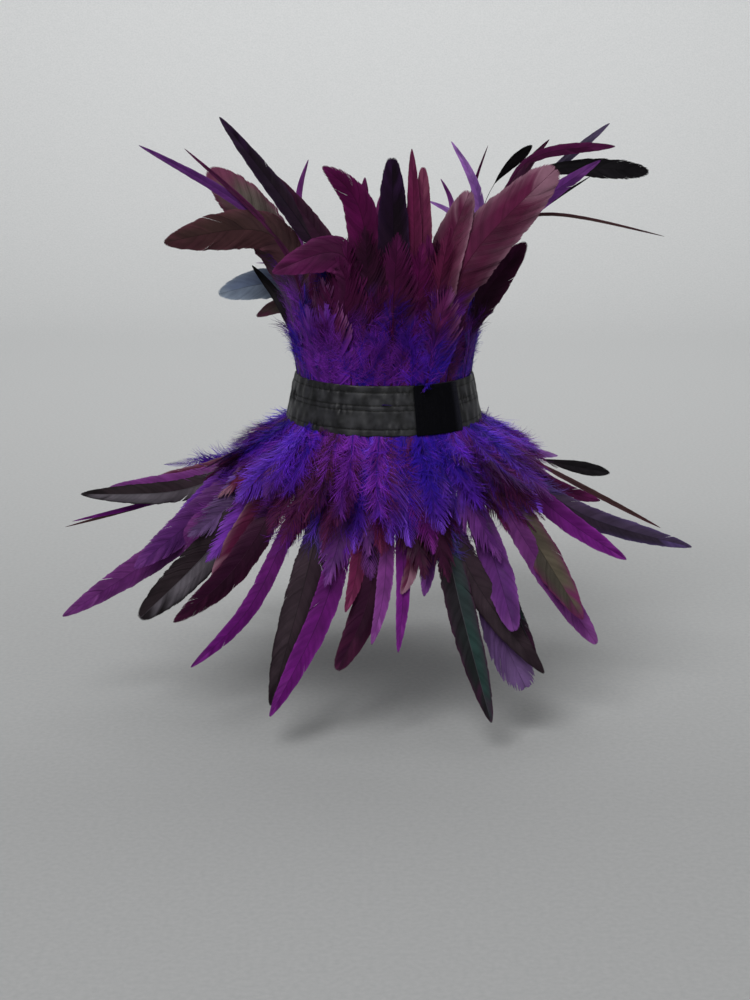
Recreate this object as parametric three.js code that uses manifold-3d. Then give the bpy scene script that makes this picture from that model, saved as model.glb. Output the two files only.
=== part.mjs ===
// A stand-up feather collar: a ribbon neck band, a ruff of feathers that stands up round the neck and a
// ruff that falls over the shoulders. Millimetres, +Z up. The wearer faces -Y, and the origin is the
// centre of the neck band. Angles are turned about Z, from 0 at the front towards the +X side.

import * as THREE from 'three';
import { mergeVertices } from 'three/addons/utils/BufferGeometryUtils.js';
import Module from 'manifold-3d';

const wasm = await Module();
wasm.setup();

// Neck band: two ribbon layers with the feather tapes held between them
const BAND_TOP_RADIUS = 59;
const BAND_BOTTOM_RADIUS = 63.5;
const BAND_HEIGHT = 31;
const RIBBON = 1.2;
const SLOT = 2;
const SEAM_HEIGHT = 3;
const GAP = 0.3;
const FACETS = 44;

// Closure: the smooth lapped end at the front
const TAB_START = 18;
const TAB_END = 50;
const TAB_THICKNESS = 1;
const TAB_STEPS = 8;

// Down of the ruffs: a wall that stands on the band and a skirt that hangs from it, both in locks
const DOWN_THICKNESS = 2.8;
const RIM_THICKNESS = 1.4;
const DOWN_FOOT = 6;
const LOCKS = FACETS / 2;
const LOCK_DEPTH = 6;
const LOCK_RIDGE = 0.4;
const WALL_LEAN = 0.12;
const WALL_STEP_OUT = 1.2;
const WALL_HEIGHT = 66;
const SKIRT_LENGTH = 56;
const SIDE_DROP = 42;
const FRONT_EXTRA_DROP = 22;

// Feather blades: a vane that is widest past its middle, on a quill that starts in the down
const UPPER_ROOT_RADIUS = 58.5;
const UPPER_ROOT_Z = 18;
const LOWER_ROOT_RADIUS = 62.5;
const LOWER_ROOT_Z = -17.5;
const BLADE_STEPS = 6;
const BLADE_THICKNESS = 1.3;
const QUILL_SHARE = 0.14;
const TIP_WIDTH = 0.8;
const TIP_THICKNESS = 0.6;
const VANE_SKEW = 1.5;
const VANE_FULLNESS = 0.6;

// One row for each feather: where its quill leaves the band, how far it runs before it bends, where its tip
// lies, how wide its vane is and how far the vane is turned about the shaft
const FEATHER_COLUMNS = ['azimuth', 'rise', 'tipX', 'tipY', 'tipZ', 'width', 'roll'];

const UPPER_ROWS = [
  [-122, 105, -50, 40, 150, 6, 60],
  [-115, 58, -110, 25, 63, 18, -70],
  [-110, 44, -85, 25, 48, 9, -60],
  [-85, 40, -86, 5, 84, 5, -60],
  [-72, 84, -116, 15, 140, 24, -60],
  [-62, 96, -155, -10, 161, 6, -60],
  [-55, 102, -140, -10, 100, 24, -40],
  [-34, 92, -67, -75, 89, 22, 0],
  [-24, 70, -101, -40, 179, 15, 0],
  [-17, 68, -71, -45, 147, 14, 0],
  [-12, 80, -12, -66, 144, 12, 0],
  [-6, 92, -37, -78, 151, 26, 0],
  [5, 80, 4, -76, 156, 19, 0],
  [16, 80, 16, -70, 161, 9, 0],
  [22, 80, 24, -64, 152, 12, 0],
  [28, 60, 26, -66, 110, 10, 0],
  [33, 80, 104, -55, 149, 32, 0],
  [64, 46, 91, -30, 104, 20, 30],
  [74, 88, 136, -15, 152, 11, 60],
  [78, 100, 102, 0, 162, 7, 40],
  [86, 146, 147, 0, 160, 7, 60],
  [89, 134, 169, 0, 144, 14, 60],
  [92, 96, 145, 15, 174, 5, 60],
  [95, 135, 97, 20, 159, 8, 60],
  [104, 85, 54, 30, 128, 18, 0],
  [108, 108, 44, 30, 162, 8, 0],
];

const LOWER_ROWS = [
  [-108, 48, -151, 32, -55, 8, 45],
  [-101, 60, -158, 22, -63, 16, 45],
  [-95, 66, -186, 15, -67, 15, 45],
  [-88, 75, -203, 0, -68, 16, 45],
  [-80, 62, -138, -38, -81, 16, 45],
  [-74, 72, -157, -52, -98, 24, 45],
  [-68, 85, -213, -62, -135, 18, 45],
  [-58, 90, -155, -78, -130, 22, 45],
  [-52, 85, -107, -84, -104, 16, 45],
  [-46, 98, -132, -92, -128, 20, 45],
  [-37, 118, -120, -108, -152, 11, 45],
  [-24, 90, -70, -124, -171, 21, 0],
  [-16, 100, -70, -132, -175, 20, 0],
  [-9, 85, -24, -118, -113, 12, 0],
  [-3, 100, -29, -130, -146, 19, 0],
  [1, 92, -8, -126, -131, 11, 0],
  [7, 92, 8, -126, -136, 10, 0],
  [23, 108, 65, -132, -179, 19, 0],
  [26, 90, 84, -122, -164, 20, 0],
  [28, 85, 98, -116, -153, 21, 0],
  [36, 82, 94, -106, -145, 12, -45],
  [47, 77, 81, -94, -134, 18, -45],
  [50, 84, 133, -90, -144, 17, -45],
  [54, 66, 125, -86, -128, 22, -45],
  [68, 72, 155, -58, -97, 15, -45],
  [76, 72, 201, -35, -95, 19, -45],
  [79, 60, 142, -22, -67, 12, -45],
  [100, 42, 153, 15, -57, 12, -45],
  [109, 38, 119, 28, -48, 8, -45],
];

// Feathers at the back and flanks of the neck stand in mirrored pairs: their turn from the back, how far out
// and how high the tip lies, and the same rise for all
const BACK_COLUMNS = ['turn', 'reach', 'tipZ', 'width'];
const UPPER_BACK_RISE = 62;
const UPPER_BACK_ROWS = [
  [0, 105, 125, 18],
  [10, 100, 115, 16],
  [20, 110, 84, 16],
  [32, 115, 80, 18],
  [44, 110, 88, 16],
  [56, 105, 80, 16],
  [68, 88, 104, 16],
  [80, 86, 100, 16],
];
const LOWER_BACK_RISE = 80;
const LOWER_BACK_ROWS = [
  [0, 140, -150, 20],
  [12, 146, -138, 18],
  [24, 154, -130, 20],
  [36, 164, -118, 18],
  [48, 176, -105, 20],
  [60, 182, -92, 16],
];

const { degToRad, mapLinear } = THREE.MathUtils;

// Radius of the band's outer face at a height
const faceRadius = (z) => mapLinear(z, -BAND_HEIGHT / 2, BAND_HEIGHT / 2, BAND_BOTTOM_RADIUS, BAND_TOP_RADIUS);

// How far below the horizontal the lower ruff leaves the band: steeper at the front and back than at the
// shoulders
const dropAt = (angle) => SIDE_DROP + FRONT_EXTRA_DROP * Math.cos(angle) ** 2;

// Point at a radius and height, turned by an angle about the neck
const around = (angle, radius, z) => new THREE.Vector3(radius * Math.sin(angle), -radius * Math.cos(angle), z);

// Turns a closed profile of radius and height about the neck
function turned(profile) {
  const points = [...profile, profile[0]].map(([radius, z]) => new THREE.Vector2(radius, z));
  return new THREE.LatheGeometry(points, FACETS).rotateX(Math.PI / 2);
}

// Moves every vertex of a geometry to the place that a function gives for it
function reshape(geometry, place) {
  const position = geometry.getAttribute('position');
  const vertex = new THREE.Vector3();
  for (let i = 0; i < position.count; i += 1) {
    vertex.fromBufferAttribute(position, i);
    const moved = place(vertex);
    position.setXYZ(i, moved.x, moved.y, moved.z);
  }
  return geometry;
}

// A geometry with its shared vertices merged
function closed(geometry) {
  geometry.deleteAttribute('normal');
  geometry.deleteAttribute('uv');
  return mergeVertices(geometry);
}

function toSolid(geometry) {
  const merged = closed(geometry);
  return new wasm.Manifold(new wasm.Mesh({
    numProp: 3,
    vertProperties: Float32Array.from(merged.getAttribute('position').array),
    triVerts: Uint32Array.from(merged.getIndex().array),
  }));
}

function toGeometry(solid) {
  const { vertProperties, triVerts } = solid.getMesh();
  const geometry = new THREE.BufferGeometry();
  geometry.setAttribute('position', new THREE.BufferAttribute(vertProperties, 3));
  geometry.setIndex(new THREE.BufferAttribute(triVerts, 1));
  return geometry;
}

// Neck band: an outer and an inner ribbon, sewn together along their middle, open as slots at both edges
function neckBand() {
  const edge = BAND_HEIGHT / 2;
  const seam = SEAM_HEIGHT / 2;
  const at = (depth, z) => [faceRadius(z) - depth, z];
  const slotOuter = RIBBON;
  const slotInner = RIBBON + SLOT;
  const inside = slotInner + RIBBON;
  return turned([
    at(0, -edge), at(0, edge),
    at(slotOuter, edge), at(slotOuter, seam), at(slotInner, seam), at(slotInner, edge),
    at(inside, edge), at(inside, -edge),
    at(slotInner, -edge), at(slotInner, -seam), at(slotOuter, -seam), at(slotOuter, -edge),
  ]);
}

// Closure tab: a flat strip bent round the front of the band
function closureTab() {
  const strip = new THREE.BoxGeometry(1, 1, BAND_HEIGHT, TAB_STEPS, 1, 1);
  return reshape(strip, ({ x, y, z }) => {
    const angle = degToRad(mapLinear(x, -0.5, 0.5, TAB_START, TAB_END));
    return around(angle, faceRadius(z) + GAP + TAB_THICKNESS * (0.5 - y), z);
  });
}

// Down of a ruff: a strip that runs from its tape in the slot (side 1 above, -1 below) to a rim of pointed
// locks. It is turned as a flat ring, whose radius is the way along the strip, and then folded into place.
function down(side, length, slopeAt, stepOut) {
  const tapeLength = (BAND_HEIGHT - SEAM_HEIGHT) / 2 - GAP;
  const ring = 2 * tapeLength;
  const tape = SLOT / 2 - GAP;
  const full = DOWN_THICKNESS / 2;
  const face = [
    [-tapeLength, tape], [0, tape], [DOWN_FOOT, full], [length / 2, full], [length, RIM_THICKNESS / 2],
  ];
  const profile = [
    ...face.map(([along, offset]) => [ring + along, -offset]),
    ...face.toReversed().map(([along, offset]) => [ring + along, offset]),
  ];
  const edge = side * BAND_HEIGHT / 2;
  const slotRadius = (z) => faceRadius(z) - RIBBON - SLOT / 2;
  return reshape(turned(profile), (vertex) => {
    const angle = Math.atan2(vertex.x, -vertex.y);
    const along = Math.hypot(vertex.x, vertex.y) - ring;
    const offset = vertex.z;
    if (along < DOWN_FOOT / 2) {
      const z = edge + side * along;
      return around(angle, slotRadius(z) - side * offset, z);
    }
    const lock = Math.cos(LOCKS * angle);
    const reach = along + LOCK_DEPTH * lock * (along / length) ** 2;
    const lift = offset + Math.sign(offset) * LOCK_RIDGE * lock * (along / length);
    const slope = slopeAt(angle);
    const radius = slotRadius(edge) + stepOut + reach * Math.cos(slope) - lift * Math.sin(slope);
    return around(angle, radius, edge + reach * Math.sin(slope) + lift * Math.cos(slope));
  });
}

// Width of a vane along its shaft, from the quill at 0 to the tip at 1, as a share of its full width
function vaneShare(along) {
  const swell = Math.max(Math.sin(Math.PI * along ** VANE_SKEW), 0) ** VANE_FULLNESS;
  return QUILL_SHARE * (1 - along) + (1 - QUILL_SHARE) * swell;
}

// Feather blade: a flat four-sided spindle laid along a bent shaft, rolled about it
function blade(root, heading, { azimuth, rise, tip, width, roll }) {
  const bend = root.clone().addScaledVector(heading, rise);
  const shaft = new THREE.CubicBezierCurve3(root, bend, bend, tip);
  const across = new THREE.Vector3(Math.cos(degToRad(azimuth)), Math.sin(degToRad(azimuth)), 0);
  const stations = [];
  for (let i = 0; i <= BLADE_STEPS; i += 1) {
    const along = i / BLADE_STEPS;
    const tangent = shaft.getTangentAt(along);
    across.addScaledVector(tangent, -across.dot(tangent)).normalize();
    stations.push({
      centre: shaft.getPointAt(along),
      side: across.clone().applyAxisAngle(tangent, -degToRad(roll)),
      tangent,
      halfWidth: Math.max(width * vaneShare(along), TIP_WIDTH) / 2,
      halfThickness: (i === BLADE_STEPS ? TIP_THICKNESS : BLADE_THICKNESS) / 2,
    });
  }
  const spindle = new THREE.CylinderGeometry(1, 1, BLADE_STEPS, 4, BLADE_STEPS);
  return reshape(spindle, ({ x, y, z }) => {
    const { centre, side, tangent, halfWidth, halfThickness } = stations[Math.round(y + BLADE_STEPS / 2)];
    const normal = new THREE.Vector3().crossVectors(side, tangent);
    return centre.clone().addScaledVector(side, x * halfWidth).addScaledVector(normal, z * halfThickness);
  });
}

const named = (columns, row) => Object.fromEntries(columns.map((column, i) => [column, row[i]]));

// Feathers of one ruff: the rows for the front and sides, then the mirrored pairs at the back
function featherList(rows, backRows, backRise) {
  const feathers = rows.map((row) => named(FEATHER_COLUMNS, row)).map((feather) => ({
    ...feather,
    tip: new THREE.Vector3(feather.tipX, feather.tipY, feather.tipZ),
  }));
  for (const { turn, reach, tipZ, width } of backRows.map((row) => named(BACK_COLUMNS, row))) {
    for (const hand of turn === 0 ? [1] : [1, -1]) {
      const azimuth = 180 - hand * turn;
      const tip = around(degToRad(azimuth), reach, tipZ);
      feathers.push({ azimuth, rise: backRise, tip, width, roll: 0 });
    }
  }
  return feathers;
}

// A ruff: its down with every feather fused to it
function ruff(downGeometry, feathers, rootRadius, rootZ, headingAt) {
  let solid = toSolid(downGeometry);
  for (const feather of feathers) {
    const angle = degToRad(feather.azimuth);
    const root = around(angle, rootRadius, rootZ);
    solid = solid.add(toSolid(blade(root, headingAt(angle), feather)));
  }
  return toGeometry(solid);
}

function upperFeathers() {
  const wallSlope = Math.atan2(1, WALL_LEAN);
  const wall = down(1, WALL_HEIGHT, () => wallSlope, WALL_STEP_OUT);
  const feathers = featherList(UPPER_ROWS, UPPER_BACK_ROWS, UPPER_BACK_RISE);
  return ruff(wall, feathers, UPPER_ROOT_RADIUS, UPPER_ROOT_Z, (angle) => around(angle, WALL_LEAN, 1));
}

function lowerFeathers() {
  const slopeAt = (angle) => -degToRad(dropAt(angle));
  const skirt = down(-1, SKIRT_LENGTH, slopeAt, 0);
  const feathers = featherList(LOWER_ROWS, LOWER_BACK_ROWS, LOWER_BACK_RISE);
  return ruff(skirt, feathers, LOWER_ROOT_RADIUS, LOWER_ROOT_Z, (angle) => {
    const slope = slopeAt(angle);
    return around(angle, Math.cos(slope), Math.sin(slope));
  });
}

const black = new THREE.MeshStandardMaterial({ color: 0x262826, roughness: 0.55, metalness: 0 });
const smoothBlack = new THREE.MeshStandardMaterial({ color: 0x0e0e12, roughness: 0.4, metalness: 0 });
const violet = new THREE.MeshStandardMaterial({ color: 0x4a1c7e, roughness: 0.6, metalness: 0 });
const plum = new THREE.MeshStandardMaterial({ color: 0x4e1e62, roughness: 0.6, metalness: 0 });

function mesh(name, geometry, material) {
  const piece = new THREE.Mesh(geometry, material);
  piece.name = name;
  return piece;
}

const collar = new THREE.Group();
collar.add(
  mesh('neck_band', closed(neckBand()), black),
  mesh('closure_tab', closed(closureTab()), smoothBlack),
  mesh('upper_feathers', upperFeathers(), plum),
  mesh('lower_feathers', lowerFeathers(), violet),
);

export default collar;
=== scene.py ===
"""A stand-up feather collar: a black ribbon band that holds a rising and a falling ruff of cock feathers.

Every feather is built of a shaft, the barbs of its two vanes and the loose down at its foot.
Sizes are in millimetres until a mesh is made, and azimuth 0 is the front of the collar.
"""

import math
from types import SimpleNamespace

import bpy
import numpy as np
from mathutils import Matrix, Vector


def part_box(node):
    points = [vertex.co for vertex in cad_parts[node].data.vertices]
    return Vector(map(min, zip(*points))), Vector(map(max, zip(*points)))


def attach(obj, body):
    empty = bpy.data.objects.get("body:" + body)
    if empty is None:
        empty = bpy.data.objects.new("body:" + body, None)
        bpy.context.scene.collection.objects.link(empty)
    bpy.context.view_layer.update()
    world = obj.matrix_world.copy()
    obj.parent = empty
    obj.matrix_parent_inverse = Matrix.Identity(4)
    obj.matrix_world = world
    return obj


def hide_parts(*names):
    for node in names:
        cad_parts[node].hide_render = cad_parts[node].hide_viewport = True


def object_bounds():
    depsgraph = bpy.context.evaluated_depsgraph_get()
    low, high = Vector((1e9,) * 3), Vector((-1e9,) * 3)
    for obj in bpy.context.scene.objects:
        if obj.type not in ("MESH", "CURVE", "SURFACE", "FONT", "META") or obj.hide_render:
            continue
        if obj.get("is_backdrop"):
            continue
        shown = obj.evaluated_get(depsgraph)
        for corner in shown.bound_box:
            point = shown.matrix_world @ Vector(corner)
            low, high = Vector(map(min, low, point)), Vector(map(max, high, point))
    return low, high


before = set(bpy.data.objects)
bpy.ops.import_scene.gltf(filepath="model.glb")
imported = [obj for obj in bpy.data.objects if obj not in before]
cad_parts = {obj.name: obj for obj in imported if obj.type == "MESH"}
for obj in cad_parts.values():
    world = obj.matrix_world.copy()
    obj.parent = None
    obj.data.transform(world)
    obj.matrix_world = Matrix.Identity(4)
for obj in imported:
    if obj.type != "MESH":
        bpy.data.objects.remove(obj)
cad_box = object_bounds()

MM = 0.001

# Band: the ribbon's lower edge flares a little past the plain cone of its solid
band_low, band_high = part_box("neck_band")
BAND_HEIGHT = (band_high.z - band_low.z) / MM
BAND_FLARE = 1.2
BAND_TAPER = 6.4
BAND_BOTTOM_RADIUS = band_high.x / MM + BAND_FLARE
BAND_TOP_RADIUS = BAND_BOTTOM_RADIUS - BAND_TAPER
RIBBON = 1.2
SLOT = 2.0
TAB_START = 18.0
TAB_END = 50.0
TAB_THICKNESS = 1.0
TAB_CLEARANCE = 0.2
TAB_BULGE = 0.25
LAP_EASE = 3
STITCH_ROWS = (0.14, 0.51, 0.61, 0.87)
STITCH_PITCH = 2.6
STITCH_DIP = 0.12
STITCH_RISE = 0.3
THREAD_RADIUS = 0.17
PUCKER_REACH = 2.4
SEAM_REACH = 0.6
SEAM_DEPTH = 0.3
EDGE_RIPPLE = 0.6
INNER_CREASE = 0.6
WEFT_PITCH = 0.62
WARP_PITCH = 0.45
# Points of a ribbon's mesh: round the ring, and up its face and its back
OUTER_SEGMENTS = 640
INNER_SEGMENTS = 420
FACE_POINTS = 34
BACK_POINTS = 6

# Where the feathers leave the band, as radius and height
UPPER_ROOT = (58.0, 18.0)
LOWER_ROOT = (63.5, -17.5)
UPPER_FOOT = (56.8, 12.0)
LOWER_FOOT = (61.8, -12.0)
# How they stand and fall: leans by height, drops in degrees, and the share of the length at which they bend
WALL_LEAN = 0.12
SIDE_LEAN = 0.03
SIDE_DROP = 42.0
FRONT_EXTRA_DROP = 22.0
WALL_BEND = 0.6
SKIRT_BEND = 0.55

# Shafts, barbs and down
SHAFT_STATIONS = 32
SHAFT_RADIUS = 0.6
SHAFT_TIP_RADIUS = 0.13
ROLL_SPAN = (0.22, 0.6)
BARB_PITCH = 0.8
VANE_STEPS = (0.0, 0.45, 0.82, 1.0)
FOOT_SLANT = 0.75
TIP_SLANT = 2.4
VANE_ARCH = 0.22
BARB_BEND = 1.25
SPLIT_SPAN = (0.35, 0.92)
DOWN_PITCH = 0.36
DOWN_WIDTH = 0.32
DOWN_STEPS = 3
UPPER_LOFT = 0.5
LOWER_LOFT = 1.0
BACK_COARSENESS = 1.5
MAP_MARGIN = 0.03

BAND_SEED = 11
FEATHER_SEED = 7
TUFT_SEED = 5

# Dyes: one vane, the other vane, the rim and the shaft
DYES = {
    "violet": ("#451a86", "#552a9c", "#6a3cb4", "#22104a"),
    "indigo": ("#2c127c", "#341890", "#4828a8", "#180a46"),
    "amethyst": ("#521f7a", "#5c2588", "#6c3698", "#2a1046"),
    "lilac": ("#80529a", "#744a90", "#9a70b0", "#4a2c6c"),
    "magenta": ("#520e5a", "#5e1668", "#70247a", "#2a0830"),
    "fuchsia": ("#420632", "#4a083a", "#581446", "#260618"),
    "orchid": ("#602868", "#6a3072", "#7a4082", "#3a1640"),
    "mauve": ("#48122e", "#501836", "#785464", "#2e1020"),
    "heather": ("#4a1440", "#521a48", "#744270", "#2a0c26"),
    "plum": ("#36082a", "#3e0c32", "#501642", "#1c0416"),
    "dark_plum": ("#22061a", "#2a0a22", "#3a122c", "#280a20"),
    "night": ("#100511", "#16081a", "#24102c", "#0c0512"),
    "purple": ("#441c56", "#4e2260", "#603070", "#260e34"),
    "black": ("#5a555c", "#2a2226", "#1c171a", "#1a1618"),
    "umber": ("#2c2228", "#342a30", "#241a20", "#1a1418"),
    "soot": ("#141215", "#181519", "#100e11", "#0c0a0d"),
    "dusk": ("#523a64", "#4a345a", "#604872", "#2c2034"),
    "slate": ("#463e52", "#3a3246", "#524662", "#241e2c"),
    "slate_plum": ("#3c3146", "#2a2230", "#4c3c66", "#1a1420"),
    "green_black": ("#223432", "#1d2021", "#341a2e", "#48424a"),
    "olive": ("#474136", "#3d3932", "#5a2048", "#221f1a"),
    "bronze": ("#4a433e", "#544042", "#582a40", "#29201f"),
    "teal": ("#8592a6", "#7684a0", "#929fb0", "#2c3640"),
    "red_plum": ("#4a1030", "#541638", "#622244", "#2a0818"),
    "rose": ("#561c3a", "#622644", "#723850", "#321222"),
    "brown": ("#3a2827", "#42292c", "#4e2c34", "#1e1012"),
}
# Painted shade: a dark smoky colour that greys and darkens each vane towards its foot
SMOKE = "#2e1a29"
# Down: its root and its tip, the darker root partly dye and partly painted shade, the paler tip partly dye
# and partly painted highlight
DOWN_DYES = {
    "violet": ("#340c84", "#6628ca"),
    "bright": ("#4014a0", "#7a48de"),
    "indigo": ("#1a0860", "#3a1ab4"),
    "warm": ("#420e6e", "#8030b0"),
    "plum": ("#320a36", "#602460"),
}
UPPER_DOWN = ("indigo", "violet", "warm", "plum", "indigo", "warm")
LOWER_DOWN = ("violet", "bright", "violet", "warm", "indigo", "warm", "plum")
FLUFF_SHAFT = "#2a0c66"

# Cuts: where the vane starts and the down ends as shares of the length, where it is widest and how square,
# how loose its barbs are at its foot, along it and at its tip, its splits, how far its barbs cover the gaps
# between them, the length of its down, and from where and over what share of the length its dye comes in
def cut(
    vane_from, down_to, skew=1.5, fullness=0.6, foot_fray=0.0, fray=0.05, tip_fray=0.0, splits=0,
    cover=0.68, down_length=14.0, dye_from=0.15, dye_span=0.28,
):
    return SimpleNamespace(**locals())


CUTS = {
    "full": cut(0.22, 0.42, foot_fray=0.25, splits=1),
    "round": cut(0.22, 0.40, skew=2.1, fullness=0.45, foot_fray=0.1),
    "broad": cut(0.18, 0.36, skew=1.35, fullness=0.38, foot_fray=0.1),
    "leaf": cut(0.18, 0.36, fullness=0.68, foot_fray=0.1),
    "lance": cut(0.22, 0.40, skew=1.9, fullness=0.58, foot_fray=0.1),
    "blunt": cut(0.62, 0.30, skew=1.6, fullness=0.30, foot_fray=0.1, fray=0.06, tip_fray=0.3, cover=0.85),
    "frayed": cut(0.20, 0.42, foot_fray=0.4, fray=0.17, splits=1),
    "split": cut(0.22, 0.42, foot_fray=0.3, fray=0.04, tip_fray=0.2, splits=1),
    "spoon": cut(0.58, 0.28, down_length=10.0),
    "curl": cut(0.78, 0.20, skew=1.6, down_length=8.0),
    "paddle": cut(0.62, 0.22, skew=1.9, fullness=0.45, tip_fray=0.15, down_length=10.0),
    "strand": cut(0.30, 0.20, down_length=7.0),
    "hairy": cut(0.30, 0.75, skew=1.4, fullness=0.7, foot_fray=0.6, fray=0.55, cover=0.26),
    "web": cut(0.03, 0.55, skew=1.0, fray=0.6, tip_fray=0.4, cover=0.7, dye_from=0.22, dye_span=0.4),
    "fluff": cut(1.00, 0.97),
    "tuft": cut(1.00, 0.97, down_length=4.5),
    "wisp": cut(1.00, 0.97, down_length=2.0),
}

# The standing feathers: azimuth, straight rise, tip, width, roll, dye, cut
UPPER_ROWS = (
    (-122, 105, (-50, 40, 150), 6, 55, "orchid", "full"),
    (-115, 58, (-110, 25, 63), 22, 61, "teal", "lance"),
    (-110, 44, (-85, 25, 48), 12, 77, "bronze", "full"),
    (-85, 40, (-86, 5, 84), 7, -88, "soot", "full"),
    (-72, 86, (-114, 15, 145), 30, -70, "bronze", "round"),
    (-62, 96, (-155, -10, 161), 7, -64, "purple", "full"),
    (-55, 102, (-141, -10, 100), 27, -46, "brown", "lance"),
    (-52, 82, (-126, -12, 159), 4, -54, "plum", "strand"),
    (-14, 92, (-68, -75, 88), 27, -60, "plum", "leaf"),
    (-24, 70, (-101, -40, 179), 13, -28, "night", "full"),
    (-17, 68, (-71, -45, 147), 14, -20, "dark_plum", "full"),
    (-12, 80, (-12, -66, 144), 12, -12, "plum", "full"),
    (-8, 112, (-37, -78, 151), 23, -14, "fuchsia", "split"),
    (5, 80, (4, -76, 156), 21, 5, "night", "broad"),
    (16, 80, (16, -70, 161), 10, 17, "red_plum", "full"),
    (20, 80, (23, -64, 150), 13, 22, "rose", "broad"),
    (28, 60, (26, -66, 110), 10, 28, "plum", "full"),
    (38, 70, (104, -55, 149), 35, 50, "mauve", "broad"),
    (30, 70, (52, -50, 135), 24, 33, "mauve", "broad"),
    (64, 46, (89, -30, 102), 22, 73, "dark_plum", "full"),
    (74, 88, (136, -15, 152), 12, 80, "purple", "full"),
    (78, 100, (102, 0, 162), 9, 82, "dark_plum", "full"),
    (80, 84, (132, -5, 142), 3, 85, "soot", "strand"),
    (84, 112, (179, -10, 104), 2.5, 85, "brown", "strand"),
    (85, 110, (106, 10, 164), 8, 88, "dark_plum", "strand"),
    (86, 140, (147, 0, 160), 8, 87, "plum", "spoon"),
    (89, 134, (169, 0, 144), 14, -88, "soot", "paddle"),
    (92, 96, (145, 15, 174), 6, -85, "slate", "spoon"),
    (118, 112, (96, 20, 160), 8, -58, "soot", "curl"),
    (104, 85, (54, 30, 128), 20, -72, "olive", "round"),
    (108, 108, (44, 30, 162), 8, -70, "lilac", "full"),
    (118, 92, (29, 45, 123), 6, -57, "lilac", "full"),
    (128, 105, (69, 45, 159), 3, -49, "plum", "strand"),
    (135, 100, (38, 50, 137), 6, -42, "orchid", "strand"),
)

# The falling feathers, in the same order
LOWER_ROWS = (
    (-108, 48, (-151, 32, -55), 10, 87, "violet", "hairy"),
    (-101, 60, (-158, 22, -63), 16, 83, "mauve", "split"),
    (-95, 66, (-186, 15, -67), 15, 78, "orchid", "full"),
    (-88, 75, (-203, 0, -68), 16, 75, "black", "full"),
    (-92, 70, (-216, 8, -93), 3, 76, "brown", "strand"),
    (-91, 72, (-211, 8, -89), 4, 74, "magenta", "strand"),
    (-80, 62, (-138, -38, -81), 20, 77, "amethyst", "frayed"),
    (-74, 72, (-160, -60, -102), 22, 73, "purple", "frayed"),
    (-68, 85, (-210, -46, -139), 19, 68, "orchid", "full"),
    (-58, 90, (-155, -78, -130), 24, 60, "black", "round"),
    (-52, 85, (-107, -84, -104), 18, 54, "mauve", "round"),
    (-46, 98, (-132, -92, -128), 19, 49, "dark_plum", "split"),
    (-37, 118, (-120, -108, -152), 12, 40, "magenta", "full"),
    (-26, 90, (-70, -124, -171), 21, 28, "umber", "full"),
    (-16, 100, (-70, -132, -175), 17, 18, "magenta", "full"),
    (-9, 85, (-24, -118, -113), 12, 10, "red_plum", "frayed"),
    (-3, 100, (-29, -130, -146), 19, 6, "dark_plum", "round"),
    (1, 92, (-8, -126, -131), 11, 0, "orchid", "frayed"),
    (7, 92, (8, -126, -136), 10, -7, "magenta", "split"),
    (10, 84, (10, -110, -104), 14, -8, "mauve", "frayed"),
    (16, 82, (24, -108, -106), 14, -15, "purple", "frayed"),
    (-6, 78, (-8, -108, -96), 22, 5, "purple", "hairy"),
    (-64, 66, (-124, -72, -78), 24, 62, "dusk", "web"),
    (-56, 74, (-112, -82, -92), 22, 57, "amethyst", "web"),
    (58, 50, (100, -66, -64), 26, -58, "violet", "web"),
    (23, 108, (65, -132, -179), 19, -25, "green_black", "full"),
    (29, 90, (88, -108, -166), 25, -30, "dusk", "blunt"),
    (26, 88, (98, -116, -153), 19, -32, "umber", "full"),
    (36, 82, (95, -94, -148), 12, -39, "green_black", "frayed"),
    (38, 84, (79, -118, -125), 20, -40, "purple", "round"),
    (50, 84, (135, -78, -147), 17, -53, "orchid", "round"),
    (54, 66, (124, -92, -126), 22, -57, "olive", "full"),
    (68, 72, (155, -58, -97), 15, -69, "magenta", "full"),
    (74, 82, (201, -35, -95), 15, -72, "slate_plum", "full"),
    (79, 60, (142, -22, -67), 12, -74, "plum", "full"),
    (83, 24, (182, -24, -85), 4, -77, "brown", "strand"),
    (100, 42, (153, 15, -57), 10, -84, "soot", "spoon"),
    (109, 38, (119, 28, -48), 8, -88, "lilac", "frayed"),
)

# The back of each ruff, as pairs either side of azimuth 180: turn, reach, tip height, width, dye
UPPER_BACK_RISE = 62
UPPER_BACK_PAIRS = (
    (0, 105, 125, 18, "plum"), (10, 100, 115, 16, "magenta"), (20, 110, 84, 16, "night"),
    (32, 115, 80, 18, "mauve"), (44, 110, 88, 16, "dark_plum"), (56, 105, 80, 16, "purple"),
    (68, 88, 104, 16, "magenta"), (80, 86, 100, 16, "plum"),
)
LOWER_BACK_RISE = 80
LOWER_BACK_PAIRS = (
    (0, 140, -150, 20, "black"), (12, 146, -138, 18, "magenta"), (24, 154, -130, 20, "plum"),
    (36, 164, -118, 18, "green_black"), (48, 176, -105, 20, "purple"), (60, 182, -92, 16, "mauve"),
)

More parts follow.
